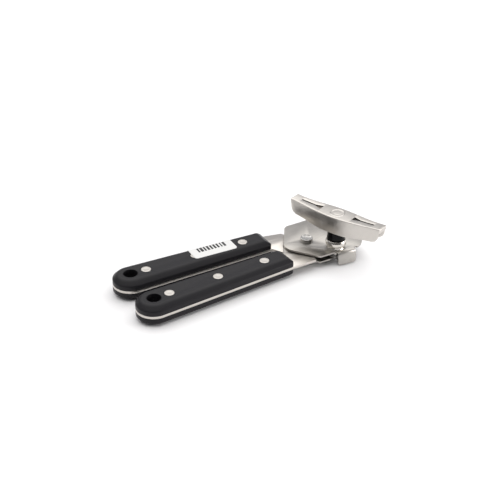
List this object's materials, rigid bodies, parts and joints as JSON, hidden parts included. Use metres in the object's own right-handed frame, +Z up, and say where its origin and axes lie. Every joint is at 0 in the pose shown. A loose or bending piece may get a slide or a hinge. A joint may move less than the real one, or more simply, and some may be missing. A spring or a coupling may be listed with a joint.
{
  "type": "manual can opener",
  "caption": "Plier-type hand can opener with two black riveted handles, a butterfly turning key, a toothed feed wheel and a free-running cutting wheel.",
  "frame": {"origin": "centre of the resting box, on the plane that the handles lie on", "axes": "+X from the handles' butts to the head, along the line midway between the handles; +Y to the drive handle; +Z up, along the key's shaft"},
  "size_m": [0.193, 0.0894, 0.0414],
  "materials": {
    "brushed_stainless": "satin, cross-brushed plate",
    "key_stainless": "satin, bead-blasted pressing",
    "rivet_steel": "satin, spun head",
    "polished_steel": "polished, turned",
    "hardened_steel": "satin, hardened",
    "bronze": "satin",
    "black_handle": "satin moulded",
    "black_nylon": "smooth moulded",
    "white_paper": "matt paper"
  },
  "bodies": {
    "drive_lever": {"drive_tang": "brushed_stainless", "drive_scale_top": "black_handle", "drive_scale_bottom": "black_handle", "drive_rivet_butt": "rivet_steel", "drive_rivet_mid": "rivet_steel", "drive_rivet_head": "rivet_steel", "head_plate_top": "brushed_stainless", "head_plate_bottom": "brushed_stainless", "head_spacer_top": "brushed_stainless", "head_spacer_bottom": "brushed_stainless", "pivot_rivet": "polished_steel", "pivot_washer_top": "bronze", "pivot_washer_bottom": "bronze", "shaft_bush": "polished_steel", "price_label": "white_paper"},
    "cutter_lever": {"cutter_tang": "brushed_stainless", "cutter_scale_top": "black_handle", "cutter_scale_bottom": "black_handle", "cutter_rivet_butt": "rivet_steel", "cutter_rivet_mid": "rivet_steel", "cutter_rivet_head": "rivet_steel", "cutter_stud": "polished_steel", "cutter_screw": "polished_steel"},
    "key_assembly": {"turning_key": "key_stainless", "key_boss": "key_stainless", "key_collar": "black_nylon", "drive_shaft": "polished_steel", "thrust_washer": "bronze", "feed_wheel": "hardened_steel"},
    "cutting_wheel": {"cutter_wheel": "polished_steel"}
  },
  "joints": [
    {"name": "handle_pivot", "type": "hinge", "parent": "drive_lever", "child": "cutter_lever", "pos_m": [0.05699, 0.01303, 0.008], "axis": [0, 0, 1], "range_deg": [0, 36]},
    {"name": "key_turn", "type": "hinge", "parent": "drive_lever", "child": "key_assembly", "pos_m": [0.07069, -0.00607, 0.012], "axis": [0, 0, 1], "continuous": true},
    {"name": "cutter_spin", "type": "hinge", "parent": "cutter_lever", "child": "cutting_wheel", "pos_m": [0.07249, 0.00781, 0.002], "axis": [0, 0, 1], "continuous": true}
  ]
}
